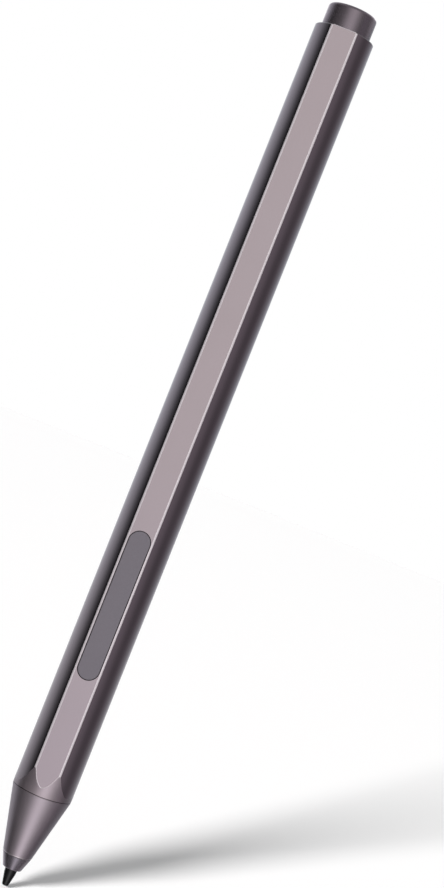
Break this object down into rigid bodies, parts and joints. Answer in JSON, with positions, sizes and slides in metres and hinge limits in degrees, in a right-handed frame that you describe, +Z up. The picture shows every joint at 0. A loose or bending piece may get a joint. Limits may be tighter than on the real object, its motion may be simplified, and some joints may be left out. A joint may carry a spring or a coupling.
{
  "type": "stylus pen",
  "caption": "Slim metal stylus pen with a magnetic flat along one side, a long side button in the flat, a tapered nose with a replaceable nib and a push button at the tail.",
  "frame": {"origin": "the nib's writing point, on the pen's axis", "axes": "+Z up the axis from the nib to the tail; the magnetic flat and its side button face -Y"},
  "size_m": [0.0096, 0.0097, 0.1465],
  "materials": {
    "anodised_shell": "satin mauve-grey anodised",
    "painted_nose": "satin metallic paint",
    "collar_plastic": "satin",
    "nib_black": "semi-gloss black",
    "button_plastic": "matt grey",
    "tail_metal": "satin anodised, darker than the flat",
    "copper_alloy": "plated",
    "spring_steel": "bright",
    "inner_plastic": "black moulded",
    "white_plastic": "natural moulded",
    "circuit_board": "solder mask",
    "chip_epoxy": "moulded epoxy",
    "flex_film": "amber film",
    "magnet_nickel": "nickel plated",
    "cell_jacket": null,
    "seal_rubber": "matt"
  },
  "bodies": {
    "pen_body": {"barrel": "anodised_shell", "nose_cone": "painted_nose", "nose_collar": "collar_plastic", "tip_electrode": "copper_alloy", "nib_spring": "spring_steel", "pressure_sensor": "spring_steel", "sensor_flex": "flex_film", "lower_tray": "inner_plastic", "board_cover": "inner_plastic", "main_board": "circuit_board", "board_chips": "chip_epoxy", "radio_shield": "spring_steel", "cover_screws": "spring_steel", "side_switch": "chip_epoxy", "flat_magnets": "magnet_nickel", "front_contact": "copper_alloy", "battery_spring": "spring_steel", "tail_flex": "flex_film"},
    "nib_plunger": {"nib_holder": "white_plastic"},
    "nib_tip": {"nib": "nib_black"},
    "side_key": {"side_button": "button_plastic", "side_switch_plunger": "white_plastic"},
    "cell": {"battery": "cell_jacket"},
    "tail_unit": {"tail_plug": "inner_plastic", "tail_seal": "seal_rubber", "contact_ring": "copper_alloy", "contact_disc": "white_plastic", "plus_contact": "copper_alloy", "tail_board": "circuit_board", "tail_chip": "chip_epoxy", "tail_switch": "chip_epoxy", "tail_spring": "spring_steel"},
    "tail_key": {"tail_button": "tail_metal", "tail_switch_plunger": "white_plastic", "stem_clip": "spring_steel"}
  },
  "joints": [
    {"name": "nib_press", "type": "slide", "parent": "pen_body", "child": "nib_plunger", "axis": [0, 0, 1], "range_m": [0, 0.0003], "stiffness_N_per_m": 1000, "springref_m": -0.0003, "deforming": ["nib_spring"]},
    {"name": "nib_pull", "type": "slide", "parent": "nib_plunger", "child": "nib_tip", "axis": [0, 0, -1], "range_m": [0, 0.014]},
    {"name": "side_press", "type": "slide", "parent": "pen_body", "child": "side_key", "axis": [0, 1, 0], "range_m": [0, 0.00025], "stiffness_N_per_m": 4000, "springref_m": -0.0003},
    {"name": "tail_pull", "type": "slide", "parent": "pen_body", "child": "tail_unit", "axis": [0, 0, 1], "range_m": [0, 0.084]},
    {"name": "battery_slide", "type": "slide", "parent": "pen_body", "child": "cell", "axis": [0, 0, 1], "range_m": [0, 0.059]},
    {"name": "tail_press", "type": "slide", "parent": "tail_unit", "child": "tail_key", "axis": [0, 0, -1], "range_m": [0, 0.0004], "stiffness_N_per_m": 2500, "springref_m": -0.0004, "deforming": ["tail_spring"]}
  ],
  "couplings": [
    {"joint": "battery_slide", "follows": "tail_pull", "ratio": 0.7}
  ]
}
